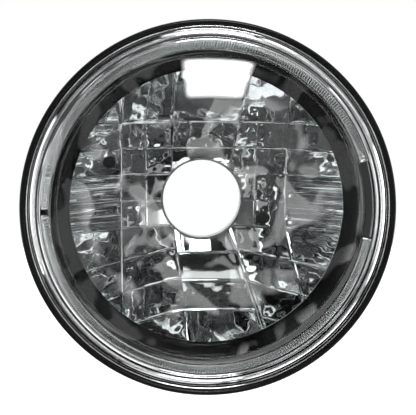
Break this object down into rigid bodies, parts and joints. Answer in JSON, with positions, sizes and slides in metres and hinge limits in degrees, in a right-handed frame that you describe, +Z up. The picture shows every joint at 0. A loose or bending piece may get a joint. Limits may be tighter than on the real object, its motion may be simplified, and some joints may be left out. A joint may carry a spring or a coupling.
{
  "type": "motorcycle headlight insert",
  "caption": "Round motorcycle headlight insert: domed clear lens over a multi-facet reflector, stepped bright ring, open bulb hole with a hinged wire bulb clip behind.",
  "frame": {"origin": "on the optical axis, in the plane where the rubber edge seal meets the headlight bowl's edge", "axes": "+Y along the optical axis towards the back, so the lamp shines to -Y; +Z up; +X to the right as seen from the front"},
  "size_m": [0.1778, 0.0913, 0.1778],
  "materials": {
    "ring_chrome": "polished, mirror bright",
    "seal_rubber": "smooth, glossy black",
    "cushion_rubber": "black",
    "clear_glass": "clear, polished",
    "sealant": "black sealant",
    "bezel_black": "gloss black",
    "reflector_mirror": "metallised mirror inside, plain cast outside",
    "plug_rubber": "black",
    "seat_steel": "bright zinc plated",
    "rivet_steel": "zinc plated",
    "bracket_steel": "zinc plated",
    "spring_wire": "bright spring wire"
  },
  "bodies": {
    "lamp": {"retaining_ring": "ring_chrome", "edge_seal": "seal_rubber", "ring_cushion": "cushion_rubber", "lens": "clear_glass", "lens_sealant": "sealant", "bezel": "bezel_black", "reflector": "reflector_mirror", "vent_plug": "plug_rubber", "bulb_seat": "seat_steel", "seat_rivets": "rivet_steel", "hinge_bracket": "bracket_steel", "bracket_rivets": "rivet_steel", "latch_hook": "bracket_steel", "latch_rivet": "rivet_steel", "spring_clip_1": "spring_wire", "spring_clip_2": "spring_wire", "spring_clip_3": "spring_wire", "spring_clip_4": "spring_wire", "spring_clip_5": "spring_wire", "spring_clip_6": "spring_wire"},
    "clip": {"bulb_clip": "spring_wire"}
  },
  "joints": [
    {"name": "clip_hinge", "type": "hinge", "parent": "lamp", "child": "clip", "pos_m": [0, 0.06504, -0.028], "axis": [1, 0, 0], "range_deg": [0, 174]}
  ]
}
